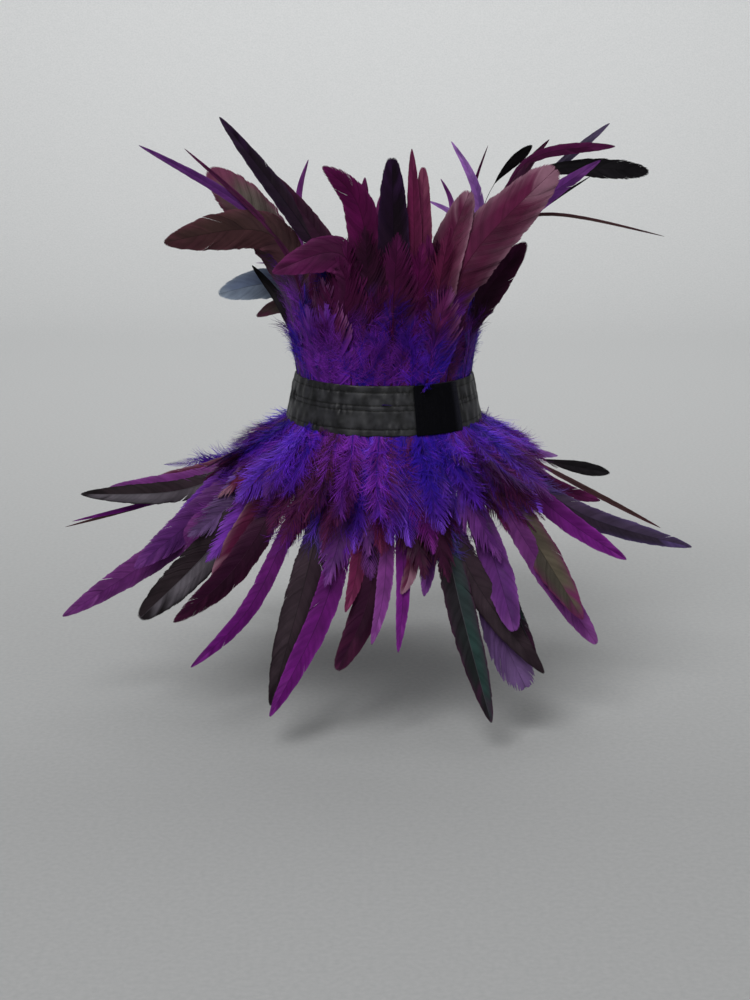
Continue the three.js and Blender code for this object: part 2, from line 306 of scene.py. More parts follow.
# The soft feathers of the wall at the front: azimuth, length, lean, turn of the tip, width, dye
UPPER_WEBS = (
    (-75, 80, 0.05, 0, 22, "night"),
    (-58, 78, 0.07, 2, 15, "indigo"),
    (-44, 84, 0.10, 4, 26, "plum"),
    (-22, 96, 0.15, 4, 30, "plum"),
    (-9, 104, 0.16, 0, 32, "dark_plum"),
    (4, 100, 0.16, 2, 30, "plum"),
    (16, 94, 0.16, 2, 28, "fuchsia"),
    (28, 102, 0.16, 4, 28, "red_plum"),
    (44, 82, 0.12, 4, 26, "plum"),
    (60, 72, 0.08, 2, 24, "indigo"),
    (76, 68, 0.05, 0, 22, "night"),
    (-21, 86, 0.21, 0, 36, "plum"),
    (-35, 72, 0.20, 4, 36, "heather"),
    (-36, 56, 0.23, 6, 36, "amethyst"),
    (-46, 54, 0.21, 2, 32, "amethyst"),
    (27, 66, 0.19, 8, 36, "heather"),
)

# Loose bits of down that stray over the band: azimuth, then radius and height of root, bend and tip, the
# turn of the tip, the cut and the dye
TUFT_WIDTH = 4
TUFTS = (
    (20, (58.0, 14.0), (60.5, 18.0), (62.0, 14.0), 7, "tuft", "violet"),
    (28, (58.0, 14.0), (60.5, 18.5), (62.5, 13.0), -5, "tuft", "purple"),
    (-1, (60.4, 3.8), (62.4, 4.6), (62.4, 4.0), 5, "wisp", "indigo"),
    (-48, (65.5, -17.0), (68.0, -14.0), (67.0, -11.5), 3, "tuft", "violet"),
    (-36, (65.5, -17.0), (68.0, -15.0), (67.0, -13.0), 3, "tuft", "purple"),
    (74, (65.5, -17.0), (68.5, -12.0), (69.5, -6.0), 4, "tuft", "violet"),
)

# The short feathers that fill each ruff, ring by ring: count, front length, side length, width, cut, dyes
# to draw from
UPPER_FILL = (
    (22, 92, 70, 26, "web", ("plum", "dark_plum", "plum", "purple")),
    (28, 66, 56, 20, "hairy", ("plum", "dark_plum", "fuchsia", "plum")),
    (42, 38, 42, 18, "fluff", ("violet", "plum", "violet")),
)
LOWER_FILL = (
    (32, 98, 70, 28, "web", ("plum", "purple", "mauve", "dark_plum", "amethyst")),
    (30, 92, 68, 24, "hairy", ("plum", "magenta", "purple", "red_plum")),
    (34, 76, 56, 24, "hairy", ("plum", "purple", "violet")),
    (46, 58, 42, 20, "fluff", ("violet", "purple", "plum")),
)
# Zones where the fill keeps to one dye: its azimuths, the first and the last ring, the dye and its down
UPPER_ZONES = (
    (-90, -46, 1, 2, "indigo", "indigo"),
    (50, 90, 1, 2, "indigo", "indigo"),
)
LOWER_ZONES = (
    (-40, -17, 0, 2, "plum", "plum"),
    (-40, -17, 3, 3, "plum", "warm"),
    (10, 34, 2, 3, "violet", "indigo"),
    (36, 56, 0, 1, "plum", "plum"),
    (62, 105, 3, 3, "amethyst", "bright"),
)
# The widest roll either way of a feather of the fill
WEB_ROLL = 12
WALL_ROLL = 22
SKIRT_ROLL = 45

# View: the camera of the photograph, from the picture's size at the collar's own axis
VIEW_DISTANCE = 1.1
VIEW_ELEVATION = math.radians(14)
PIXEL = 0.66 * MM
FRAME_CENTRE = (375, 500)
AXIS_PIXEL = (384, 394)
SENSOR = 36.0
LENS = SENSOR * VIEW_DISTANCE / (2 * FRAME_CENTRE[1] * PIXEL)
FLOOR_HEIGHT = -0.20
DARKEST_FLOOR = 0.6


def linear(code):
    """A colour written as #rrggbb, in linear light."""
    values = np.array([int(code[i:i + 2], 16) for i in (1, 3, 5)]) / 255
    return np.where(values <= 0.04045, values / 12.92, ((values + 0.055) / 1.055) ** 2.4)


def smooth(low, high, x):
    share = np.clip((x - low) / (high - low), 0, 1)
    return share * share * (3 - 2 * share)


def blend(a, b, share):
    return a + (b - a) * share


def drift(rng, count, step):
    """Random values from -1 to 1 that change slowly, with a new one every few places."""
    knots = rng.uniform(-1, 1, count // step + 2)
    return np.interp(np.arange(count) / step, np.arange(len(knots)), knots)


def ring_point(azimuth, radius, height):
    a = math.radians(azimuth)
    return np.array([radius * math.sin(a), -radius * math.cos(a), height])


def stacked(*fields):
    """Fields side by side along a new last axis, such as x, y and z."""
    return np.stack(np.broadcast_arrays(*fields), axis=-1)


def round_axis(angle, radius, height):
    """Points round the collar's axis, at angles from the front."""
    return stacked(radius * np.sin(angle), -radius * np.cos(angle), height)


def frontness(azimuth):
    """1 at the front, and 0 from the sides to the back."""
    return max(math.cos(math.radians(azimuth)), 0)


def unit(vectors):
    return vectors / np.linalg.norm(vectors, axis=-1, keepdims=True)


class Shaft:
    """The curved line of one feather, with its vane's side and outward directions at stations along it."""

    def __init__(self, azimuth, foot, bend, tip, roll, outward):
        root = ring_point(azimuth, *foot)
        q = np.linspace(0, 1, 4 * SHAFT_STATIONS)[:, None]
        dense = root * (1 - q) ** 3 + bend * 3 * q * (1 - q) + np.array(tip) * q ** 3
        travelled = np.concatenate([[0], np.cumsum(np.linalg.norm(np.diff(dense, axis=0), axis=1))])
        self.length = travelled[-1]
        self.stations = np.linspace(0, self.length, SHAFT_STATIONS)
        self.points = np.stack([np.interp(self.stations, travelled, dense[:, i]) for i in range(3)], axis=1)
        self.tangents = unit(np.gradient(self.points, self.stations, axis=0))
        a = math.radians(azimuth)
        across = np.array([math.cos(a), math.sin(a), 0.0])
        flat_sides = []
        for tangent in self.tangents:
            across = unit(across - tangent * np.dot(across, tangent))
            flat_sides.append(across)
        flat_sides = np.array(flat_sides)
        turn = math.radians(roll) * smooth(*ROLL_SPAN, self.stations / self.length)[:, None]
        self.sides = flat_sides * np.cos(turn) + np.cross(flat_sides, self.tangents) * np.sin(turn)
        self.normals = np.cross(self.sides, self.tangents) * outward

    def place(self, along, across, lift):
        """Points beside the shaft, carried straight on past its ends."""
        inside = np.clip(along, 0, self.length)

        def at(field):
            return np.stack([np.interp(inside, self.stations, field[:, i]) for i in range(3)], axis=-1)

        on_shaft = at(self.points) + (along - inside)[..., None] * at(self.tangents)
        return on_shaft + across[..., None] * at(self.sides) + lift[..., None] * at(self.normals)


class Plumage:
    """Gathers the barbs and shafts of many feathers and joins them into one mesh."""

    def __init__(self, name, node, slot, downs, loft, coarseness=1.0):
        self.name = name
        self.node = node
        self.slot = slot
        self.downs = downs
        self.loft = loft
        self.coarseness = coarseness
        self.patches = []
        self.feathers = 0

    def add(self, points, colours, strand, place):
        """Adds patches of quads, as (patches, rows, columns, 3) points, each with its place on the map."""
        self.patches.append((points, colours, strand, place, self.feathers))

    def build(self, material):
        tiles = math.ceil(math.sqrt(self.feathers))
        corners, colours, strands, places, faces = [], [], [], [], []
        start = 0
        for points, colour, strand, place, feather in self.patches:
            index = np.arange(strand.size).reshape(strand.shape) + start
            tile = np.array([feather % tiles, feather // tiles])
            corners.append(points.reshape(-1, 3) * MM)
            colours.append(colour.reshape(-1, 3))
            strands.append(strand.reshape(-1))
            inset = blend(MAP_MARGIN, 1 - MAP_MARGIN, np.clip(place, 0, 1))
            places.append((inset.reshape(-1, 2) + tile) / tiles)
            faces.append(quads_between(index))
            start += strand.size
        mesh = mesh_from_quads(self.name, np.concatenate(corners), np.concatenate(faces))
        rgba = np.concatenate([np.concatenate(colours), np.ones((start, 1))], axis=1)
        add_field(mesh, "dye", rgba, "FLOAT_COLOR", "color")
        add_field(mesh, "strand", np.concatenate(strands))
        map_from_points(mesh, np.concatenate(places))
        show(mesh, material, self.slot, self.node)


def quads_between(index):
    """The quads between neighbouring points of patches, from the points' numbers."""
    quads = stacked(index[:, :-1, :-1], index[:, :-1, 1:], index[:, 1:, 1:], index[:, 1:, :-1])
    return quads.reshape(-1, 4)


def mesh_from_quads(name, corners, faces):
    mesh = bpy.data.meshes.new(name)
    mesh.vertices.add(len(corners))
    mesh.vertices.foreach_set("co", corners.astype(np.float32).ravel())
    mesh.loops.add(faces.size)
    mesh.loops.foreach_set("vertex_index", faces.astype(np.int32).ravel())
    mesh.polygons.add(len(faces))
    mesh.polygons.foreach_set("loop_start", np.arange(0, faces.size, 4, dtype=np.int32))
    mesh.update(calc_edges=True)
    mesh.shade_smooth()
    return mesh


def map_from_points(mesh, places):
    """Gives a mesh the map that its finish is kept on, from one place per point."""
    corner_points = np.zeros(len(mesh.loops), np.int32)
    mesh.loops.foreach_get("vertex_index", corner_points)
    layer = mesh.uv_layers.new(name="OFBake")
    layer.data.foreach_set("uv", places[corner_points].astype(np.float32).ravel())


def add_field(mesh, name, values, kind="FLOAT", key="value"):
    """Keeps a number or a colour for each point."""
    made = mesh.attributes.new(name, kind, "POINT")
    made.data.foreach_set(key, values.astype(np.float32).ravel())


def add_object(name, data):
    made = bpy.data.objects.new(name, data)
    bpy.context.scene.collection.objects.link(made)
    return made


def show(mesh, material, slot, node):
    piece = add_object(mesh.name, mesh)
    mesh.materials.append(material)
    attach(piece, "root")
    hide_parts(node)
    return piece


# Feathers

def width_share(share, cut):
    """The vane's width along the feather, as a share of its widest."""
    bare = cut.vane_from if cut.vane_from >= 0.4 else 0.0
    inner = np.clip((share - bare) / (1 - bare), 0, 1)
    return 0.14 * (1 - share) + 0.86 * np.maximum(np.sin(np.pi * inner ** cut.skew), 0) ** cut.fullness


def add_shaft(plumage, shaft, width, colour):
    sides = 4
    turns = np.linspace(0, 2 * np.pi, sides + 1)
    share = shaft.stations / shaft.length
    thick = blend(SHAFT_RADIUS, SHAFT_TIP_RADIUS, share ** 0.8) * blend(0.7, 1.0, min(width / 20, 1))
    along = np.repeat(shaft.stations[:, None], sides + 1, axis=1)
    across = thick[:, None] * np.cos(turns)
    lift = thick[:, None] * 0.8 * np.sin(turns)
    points = shaft.place(along, across, lift)[None]
    colours = np.broadcast_to(colour, points.shape)
    strand = np.broadcast_to(np.cos(turns), points.shape[:3])
    place = stacked(0.5 + 0.02 * (turns / np.pi - 1), share[None, :, None])
    plumage.add(points, colours, strand, place)


def add_strips(plumage, shaft, along, across, lift, spread, tilt, colours, reach):
    """Turns lines of barbs into narrow strips: spread is each edge's shift along and across the feather."""
    shift_along, shift_across = spread
    edges = np.array([-1.0, 1.0])
    wide_along = along[..., None] + shift_along[..., None] * edges
    wide_across = across[..., None] + shift_across[..., None] * edges
    wide_lift = lift[..., None] - tilt * edges
    points = shaft.place(wide_along, wide_across, wide_lift)
    strand = np.broadcast_to(edges, points.shape[:3])
    place = stacked(0.5 + wide_across / (2 * reach), wide_along / shaft.length)
    plumage.add(points, np.repeat(colours[:, :, None], 2, axis=2), strand, place)


def add_vane(plumage, rng, shaft, width, dye, down_dye, cut, reach):
    """The barbs of both vanes: share is a barb's place on the feather, and run goes along the barb."""
    vane, other, rim, _ = dye
    down_root, down_tip = down_dye
    pitch = BARB_PITCH * plumage.coarseness
    count = max(int((1 - cut.vane_from) * shaft.length / pitch), 8)
    q = np.array(VANE_STEPS)[None]
    share = 1 - (1 - cut.vane_from) * np.linspace(1, 0, count) ** 1.3
    slant = blend(FOOT_SLANT, TIP_SLANT, share ** 2)
    foot = 1 - smooth(0.3, 0.7, share)
    loose = cut.fray + cut.foot_fray * foot + cut.tip_fray * smooth(0.75, 1.0, share)
    for hand, tone in ((1, vane), (-1, other)):
        ragged = 0.05 * drift(rng, count, 4) + 0.35 * loose * rng.random(count)
        half = width / 2 * width_share(share, cut) * (1 + ragged)
        short = 1 - 0.5 * loose * rng.random(count) ** 2
        run = q * short[:, None]
        end = (share * shaft.length)[:, None]
        begin = np.maximum(end - (half * slant)[:, None], 0)
        along = begin + (end - begin) * run ** BARB_BEND
        narrowing = np.maximum(-np.gradient(half), 0)[:, None] * slant[:, None] * 1.47 * run ** BARB_BEND
        steps = np.diff(along, axis=0)
        wider_step = np.maximum(np.concatenate([steps[:1], steps]), np.concatenate([steps, steps[-1:]]))
        apart = np.maximum(wider_step, 0.6 * pitch) + narrowing
        taper_from = 0.7 - 0.4 * np.minimum(loose, 1)[:, None]
        taper = np.minimum(0.08 + loose, 0.9)[:, None] * smooth(taper_from, 1.0, q)
        spread = np.minimum(cut.cover * apart * (1 - taper), np.maximum(shaft.length - along, 0.15))
        for place in rng.uniform(max(cut.vane_from, SPLIT_SPAN[0]), SPLIT_SPAN[1], cut.splits):
            beyond = share - place
            gap = rng.uniform(0.3, 1.0) * np.sign(beyond) * np.exp(-np.abs(beyond) / 0.025)
            along += gap[:, None] * run ** 2
        along += (loose * 1.4 * drift(rng, count, 4))[:, None] * run ** 2
        across = hand * half[:, None] * run ** 0.85
        ruffle = 0.05 * drift(rng, count, 6) + 0.16 * loose * drift(rng, count, 3)
        lift = half[:, None] * (ruffle[:, None] * run - VANE_ARCH * run ** 2)
        ahead = along / shaft.length + 0.1 * drift(rng, count, 8)[:, None]
        rimmed = np.maximum(smooth(0.72, 1.0, run), smooth(0.86, 1.0, ahead))[..., None]
        colour = blend(tone, rim, rimmed)
        # Painted shade: the vane greys and darkens towards its foot
        colour = blend(blend(linear(SMOKE), colour, 0.7), colour, smooth(0.45, 0.8, ahead)[..., None])
        dyed = smooth(cut.dye_from, cut.dye_from + cut.dye_span, ahead)[..., None]
        # The vane's foot takes the down's colours, with their painted shade at the root and painted
        # highlight at the tip
        colour = blend(blend(down_root, down_tip, 0.6 * run[..., None]), colour, dyed)
        shade = 1 + (0.13 + 0.12 * loose) * drift(rng, count, 2) + 0.16 * drift(rng, count, 14)
        colour = colour * np.maximum(shade, 0.3)[:, None, None]
        add_strips(plumage, shaft, along, across, lift, (spread, 0 * spread), 0.1, colour, reach)


def add_down(plumage, rng, shaft, dye, down_dye, cut, reach):
    """Loose barbs at the foot, each with its own length, heading, lift and curl."""
    root, tip = down_dye
    pitch = DOWN_PITCH * plumage.coarseness
    count = max(int(cut.down_to * shaft.length / pitch), 6)
    q = np.linspace(0, 1, DOWN_STEPS + 1)[None]
    for hand in (1, -1):
        share = np.linspace(0, cut.down_to, count)
        freed = smooth(0, 0.18, share)
        size = cut.down_length * blend(0.75, 1.0, freed) * blend(1.0, 0.65, smooth(0.6, 1.0, share))
        size = size * rng.uniform(0.6, 1.2, count)
        stray = 14 * drift(rng, count, 8) + rng.normal(0, 6, count)
        angle = np.radians(blend(30, blend(50, 24, share), freed) + stray)
        raised = np.radians(4 + 16 * drift(rng, count, 9) + rng.normal(0, 7, count))
        raised = raised * freed * plumage.loft
        curl = np.radians(-4 + 24 * drift(rng, count, 11) + rng.normal(0, 12, count))
        wave = 0.04 * np.sin(2 * np.pi * (1.4 * q + rng.random(count)[:, None]))
        heading = angle[:, None] + curl[:, None] * q
        step = size[:, None] * q
        along = (share * shaft.length)[:, None] + step * (np.cos(heading) + wave)
        across = hand * step * np.sin(heading) * np.cos(raised)[:, None]
        lift = step * (np.sin(raised)[:, None] + wave)
        thin = DOWN_WIDTH * plumage.coarseness / 2 * (1 - 0.8 * q ** 2)
        spread = (thin * np.sin(heading), -hand * thin * np.cos(heading))
        # Darker at the root and paler at the tip: partly dye, partly painted shade deep in the down and
        # painted highlight at its tips
        colour = blend(root, tip, q[..., None])
        tinted = smooth(0.5, 1.0, share / cut.down_to + 0.2 * drift(rng, count, 12))[:, None, None]
        colour = blend(colour, dye[0], 0.85 * tinted)
        shade = 1 + 0.36 * drift(rng, count, 3) + 0.2 * drift(rng, count, 16)
        colour = colour * shade[:, None, None]
        add_strips(plumage, shaft, along, across, lift, spread, 0.0, colour, reach)


def add_feather(plumage, rng, shaft, width, dye_name, cut_name, down_name=None):
    any_down = plumage.downs[rng.integers(len(plumage.downs))]
    dye = [linear(code) for code in DYES[dye_name]]
    down_dye = [linear(code) for code in DOWN_DYES[down_name or any_down]]
    cut = CUTS[cut_name]
    reach = max(width / 2, cut.down_length) * 1.1
    if cut.vane_from >= 1:
        add_shaft(plumage, shaft, width, linear(FLUFF_SHAFT))
    else:
        add_shaft(plumage, shaft, width, blend(dye[3], dye[0], 0.45))
        add_vane(plumage, rng, shaft, width, dye, down_dye, cut, reach)
    add_down(plumage, rng, shaft, dye, down_dye, cut, reach)
    plumage.feathers += 1


def drop_at(azimuth):
    return math.radians(SIDE_DROP + FRONT_EXTRA_DROP * math.cos(math.radians(azimuth)) ** 2)


def rising_shaft(azimuth, rise, tip, roll):
    bend = ring_point(azimuth, UPPER_ROOT[0] + WALL_LEAN * rise, UPPER_ROOT[1] + rise)
    return Shaft(azimuth, UPPER_FOOT, bend, tip, roll, 1)


def falling_shaft(azimuth, rise, tip, roll):
    radius, height = LOWER_ROOT
    drop = drop_at(azimuth)
    bend = ring_point(azimuth, radius + rise * math.cos(drop), height - rise * math.sin(drop))
    return Shaft(azimuth, LOWER_FOOT, bend, tip, roll, -1)


def paired_rows(rise, pairs):
    """Rows for the back of a ruff, mirrored about the middle of the back."""
    for turn, reach, height, width, dye in pairs:
        for side in ((1,) if turn == 0 else (1, -1)):
            azimuth = 180 - side * turn
            yield azimuth, rise, ring_point(azimuth, reach, height), width, 0, dye, "full"


def add_rows(plumage, rng, rows, shaft_of):
    for azimuth, rise, tip, width, roll, dye, cut in rows:
        add_feather(plumage, rng, shaft_of(azimuth, rise, tip, roll), width, dye, cut)


def zone_dyes(zones, azimuth, ring, dye):
    """The dye of a feather of the fill and of its down, which is None where any down will do."""
    turned = (azimuth + 180) % 360 - 180
    for low, high, first, last, *dyes in zones:
        if low < turned < high and first <= ring <= last:
            return dyes
    return dye, None


def wall_shaft(azimuth, length, lean, aside, tip_aside, tip_out, roll):
    """A feather that stands in the wall, which leans out from the band."""
    radius, height = UPPER_FOOT
    run = WALL_BEND * length
    bend = ring_point(azimuth + aside, radius + lean * run, height + run)
    tip = ring_point(azimuth + aside + tip_aside, radius + lean * length + tip_out, height + length)
    return Shaft(azimuth, UPPER_FOOT, bend, tip, roll, 1)


def any_roll(rng, cut, soft_roll):
    widest = WEB_ROLL if cut == "web" else soft_roll
    return rng.uniform(-widest, widest)


def add_webs(plumage, rng):
    for azimuth, length, lean, tip_turn, width, dye in UPPER_WEBS:
        roll = any_roll(rng, "web", WALL_ROLL)
        shaft = wall_shaft(azimuth, length, lean, 0.3 * tip_turn, 0.7 * tip_turn, 2, roll)
        add_feather(plumage, rng, shaft, width, dye, "web")


def add_tufts(plumage, rng):
    for azimuth, root, bend, tip, tip_turn, cut, dye in TUFTS:
        shaft = Shaft(azimuth, root, ring_point(azimuth, *bend), ring_point(azimuth + tip_turn, *tip), 0, 1)
        add_feather(plumage, rng, shaft, TUFT_WIDTH, dye, cut)


def wall_fill_shaft(rng, azimuth, length, ring, cut):
    lean = SIDE_LEAN * (1 - ring) + (0.07 + 0.08 * ring) * frontness(azimuth)
    lean += rng.uniform(-0.015, 0.015)
    aside, tip_aside, tip_out = rng.uniform(-4, 4), rng.uniform(-10, 10), rng.uniform(0, 6)
    return wall_shaft(azimuth, length, lean, aside, tip_aside, tip_out, any_roll(rng, cut, WALL_ROLL))


def skirt_fill_shaft(rng, azimuth, length, ring, cut):
    radius, height = LOWER_FOOT
    drop = drop_at(azimuth) - math.radians(3 * ring + rng.uniform(-5, 5))
    run = SKIRT_BEND * length
    aside = rng.uniform(-4, 4)
    bend = ring_point(azimuth + aside, radius + run * math.cos(drop), height - run * math.sin(drop))
    flat_drop = drop - math.radians(rng.uniform(0, 12))
    tip_azimuth = azimuth + aside + rng.uniform(-14, 14)
    onward = ring_point(tip_azimuth, math.cos(flat_drop), -math.sin(flat_drop))
    tip = bend + onward * (1 - SKIRT_BEND) * length
    return Shaft(azimuth, LOWER_FOOT, bend, tip, any_roll(rng, cut, SKIRT_ROLL), -1)


def add_fill(front, back, rng, rings, zones, shaft_of):
    """The short feathers that fill a ruff, ring by ring, shared out between its front and its back."""
    for ring, (count, front_length, side_length, width, cut, dyes) in enumerate(rings):
        for i in range(count):
            azimuth = 360 * (i + 0.5 * ring + rng.uniform(-0.3, 0.3)) / count
            usual_length = blend(side_length, front_length, frontness(azimuth) ** 0.7)
            length = usual_length * rng.uniform(0.8, 1.08)
            dye, down = zone_dyes(zones, azimuth, ring, dyes[rng.integers(len(dyes))])
            own_width = width * rng.uniform(0.85, 1.15)
            shaft = shaft_of(rng, azimuth, length, ring, cut)
            side = front if frontness(azimuth) > 0 else back
            add_feather(side, rng, shaft, own_width, dye, cut, down)


# Band

def band_radius(share):
    """The band's outer radius, from its lower edge at 0 to its upper edge at 1."""
    return blend(BAND_BOTTOM_RADIUS, BAND_TOP_RADIUS, share)


def waves(rng, angle, counts, amplitude):
    """A sum of waves round the ring, each with its own size and start."""
    total = np.zeros_like(angle)
    for count in counts:
        total += rng.uniform(0.4, 1.0) * np.sin(count * angle + rng.uniform(0, 2 * np.pi))
    return amplitude * total / len(counts)


class Creases:
    """The ribbon's wrinkles: how far its face stands off its cone at an azimuth and a height share."""

    def __init__(self, rng):
        self.angle = np.linspace(0, 2 * np.pi, 1441)
        self.rolls = [waves(rng, self.angle, (9, 14, 23, 31, 43), 1.5) for _ in range(5)]
        self.puckers = [self.pucker(rng) for _ in STITCH_ROWS]
        self.edge = waves(rng, self.angle, (5, 9, 14, 22), 0.5)

    def pucker(self, rng):
        """Fine waves along a row of stitches, in some stretches of it only."""
        fine = waves(rng, self.angle, (47, 61, 83, 97), 1.5)
        return fine * smooth(-0.2, 0.5, waves(rng, self.angle, (3, 5, 8), 1.5))

    def around(self, values, angle):
        return np.interp(np.mod(angle, 2 * np.pi), self.angle, values)

    def stand_off(self, angle, share):
        knots = np.linspace(0, 1, len(self.rolls))
        total = np.zeros(np.broadcast(angle, share).shape)
        for knot, roll in zip(knots, self.rolls):
            weight = np.maximum(1 - np.abs(share - knot) / (knots[1] - knots[0]), 0)
            total = total + weight * self.around(roll, angle)
        for row, pucker in zip(STITCH_ROWS, self.puckers):
            off = (share - row) * BAND_HEIGHT
            total = total + np.exp(-(off / PUCKER_REACH) ** 2) * self.around(pucker, angle)
            total = total - SEAM_DEPTH * np.exp(-(off / SEAM_REACH) ** 2)
        turned = np.degrees(np.mod(angle, 2 * np.pi))
        begun = smooth(TAB_START - LAP_EASE, TAB_START, turned)
        lapped = begun * (1 - smooth(TAB_END, TAB_END + LAP_EASE, turned))
        return total * (1 - 0.9 * lapped)


def end_caps(index):
    """Quads that close the first and last loop of a flat bar, whose two faces have matching points."""
    columns = index.shape[1]
    near = np.arange(columns // 2 - 1)
    far = columns - 1 - near
    first, last = index[0], index[-1]
    return np.concatenate([
        stacked(first[near + 1], first[near], first[far], first[far - 1]),
        stacked(last[near], last[near + 1], last[far - 1], last[far]),
    ])


def closed_mesh(name, points, closed_rows, places):
    """A closed skin of quads over a grid of points: its columns form loops, its rows do or are capped."""
    rows, columns = points.shape[:2]
    index = np.arange(rows * columns).reshape(rows, columns)
    across = np.roll(index, -1, axis=1)
    onward = np.roll(index, -1, axis=0)
    corner = np.roll(across, -1, axis=0)
    faces = stacked(index, across, corner, onward)
    if closed_rows:
        faces = faces.reshape(-1, 4)
    else:
        faces = np.concatenate([faces[:-1].reshape(-1, 4), end_caps(index)])
    mesh = mesh_from_quads(name, points.reshape(-1, 3) * MM, faces)
    map_from_points(mesh, places.reshape(-1, 2))
    return mesh


def grid_places(shape, row_margin, column_margin):
    """Places on the map for a grid of points, clear of the map's edges."""
    rows = np.linspace(row_margin, 1 - row_margin, shape[0])[:, None]
    columns = np.linspace(column_margin, 1 - column_margin, shape[1])[None]
    return stacked(rows, columns)


def ribbon_profile():
    """A ribbon's section as height shares and depths behind its face, round its two folded edges."""
    fold = 0.5 * RIBBON / BAND_HEIGHT
    turn = np.linspace(0, np.pi, 6)[1:-1]
    face = np.linspace(fold, 1 - fold, FACE_POINTS)
    back = np.linspace(1 - fold, fold, BACK_POINTS)
    top = 1 - fold + fold * np.sin(turn)
    bottom = fold - fold * np.sin(turn)
    share = np.concatenate([face, top, back, bottom])
    edge_depth = RIBBON * (1 - np.cos(turn)) / 2
    depth = np.concatenate([0 * face, edge_depth, np.full_like(back, RIBBON), edge_depth[::-1]])
    return share, depth


def make_ribbon(name, creases, offset, inward, material):
    """One layer of the band: offset is how far its face lies inside the band's outer cone."""
    around = INNER_SEGMENTS if inward else OUTER_SEGMENTS
    angle = np.linspace(0, 2 * np.pi, around, endpoint=False)[:, None]
    share, depth = ribbon_profile()
    crease = creases.stand_off(angle, share)
    if inward:
        radius = band_radius(share) - offset - RIBBON + depth - INNER_CREASE * crease
    else:
        radius = band_radius(share) - offset - depth + crease
    ripple = EDGE_RIPPLE * creases.around(creases.edge, angle) * np.abs(2 * share - 1) ** 4
    points = round_axis(angle, radius, (share - 0.5) * BAND_HEIGHT + ripple)
    mesh = closed_mesh(name, points, True, grid_places(radius.shape, 0.01, 0.01))
    add_cloth_fields(mesh, angle, share)
    piece = show(mesh, material, "band_ribbon", "neck_band")


def add_cloth_fields(mesh, angle, share):
    """Keeps each point's distance round the ring and up the ribbon, in millimetres, for the weave."""
    angle, share = np.broadcast_arrays(angle, share)
    add_field(mesh, "around", angle * band_radius(0.5))
    add_field(mesh, "up", share * BAND_HEIGHT)


def make_tab(creases, material):
    """The smooth end of the band that laps over its front, as a bent plate with soft edges."""
    around, up = 40, 20
    loop = (np.arange(2 * up) + 0.5) * np.pi / up
    share = 0.5 + 0.497 * np.sign(np.cos(loop)) * np.abs(np.cos(loop)) ** 0.8
    front = np.sign(np.sin(loop)) * np.abs(np.sin(loop)) ** 0.25
    span = np.linspace(-1, 1, around)[:, None]
    soft_end = blend(0.25, 1.0, (1 - np.abs(span) ** 24) ** 0.5)
    angle = np.radians(blend(TAB_START, TAB_END, (span + 1) / 2))
    bulge = TAB_BULGE + 0.2 * creases.around(creases.rolls[2], 2.3 * angle)
    middle = band_radius(share) + TAB_CLEARANCE + TAB_THICKNESS / 2 + bulge
    radius = middle + TAB_THICKNESS / 2 * front * soft_end
    points = round_axis(angle, radius, (share - 0.5) * BAND_HEIGHT)
    mesh = closed_mesh("closure_tab_cloth", points, False, grid_places(radius.shape, 0.05, 0.02))
    add_cloth_fields(mesh, angle, share)
    piece = show(mesh, material, "closure", "closure_tab")
    tab_length = math.radians(TAB_END - TAB_START) * band_radius(0.5)


def make_stitches(creases, material):
    """Rows of short thread stitches that dip into the ribbon at each end."""
    sides = 5
    steps = np.linspace(0, 1, 5)
    turns = np.linspace(0, 2 * np.pi, sides + 1)
    count = int(2 * np.pi * band_radius(0.5) / STITCH_PITCH)
    patches = []
    for row in STITCH_ROWS:
        angle = 2 * np.pi * (np.arange(count)[:, None] + 0.1 + 0.8 * steps[None]) / count
        face = band_radius(row) + creases.stand_off(angle, row)
        centre = face - STITCH_DIP + STITCH_RISE * np.sin(np.pi * steps)[None]
        radius = centre[..., None] + THREAD_RADIUS * np.cos(turns)
        height = (row - 0.5) * BAND_HEIGHT + THREAD_RADIUS * np.sin(turns)
        patches.append(round_axis(angle[..., None], radius, height))
    points = np.concatenate(patches)
    shape = points.shape[:3]
    index = np.arange(points.size // 3).reshape(shape)
    mesh = mesh_from_quads("ribbon_stitches", points.reshape(-1, 3) * MM, quads_between(index))
    columns = math.ceil(math.sqrt(shape[0]))
    number = np.arange(shape[0])
    tile = stacked(number % columns, number // columns)[:, None, None]
    local = stacked(steps[None, :, None], turns / (2 * np.pi))
    map_from_points(mesh, ((tile + 0.05 + 0.9 * local) / columns).reshape(-1, 2))
    show(mesh, material, "band_ribbon", "neck_band")


# Materials

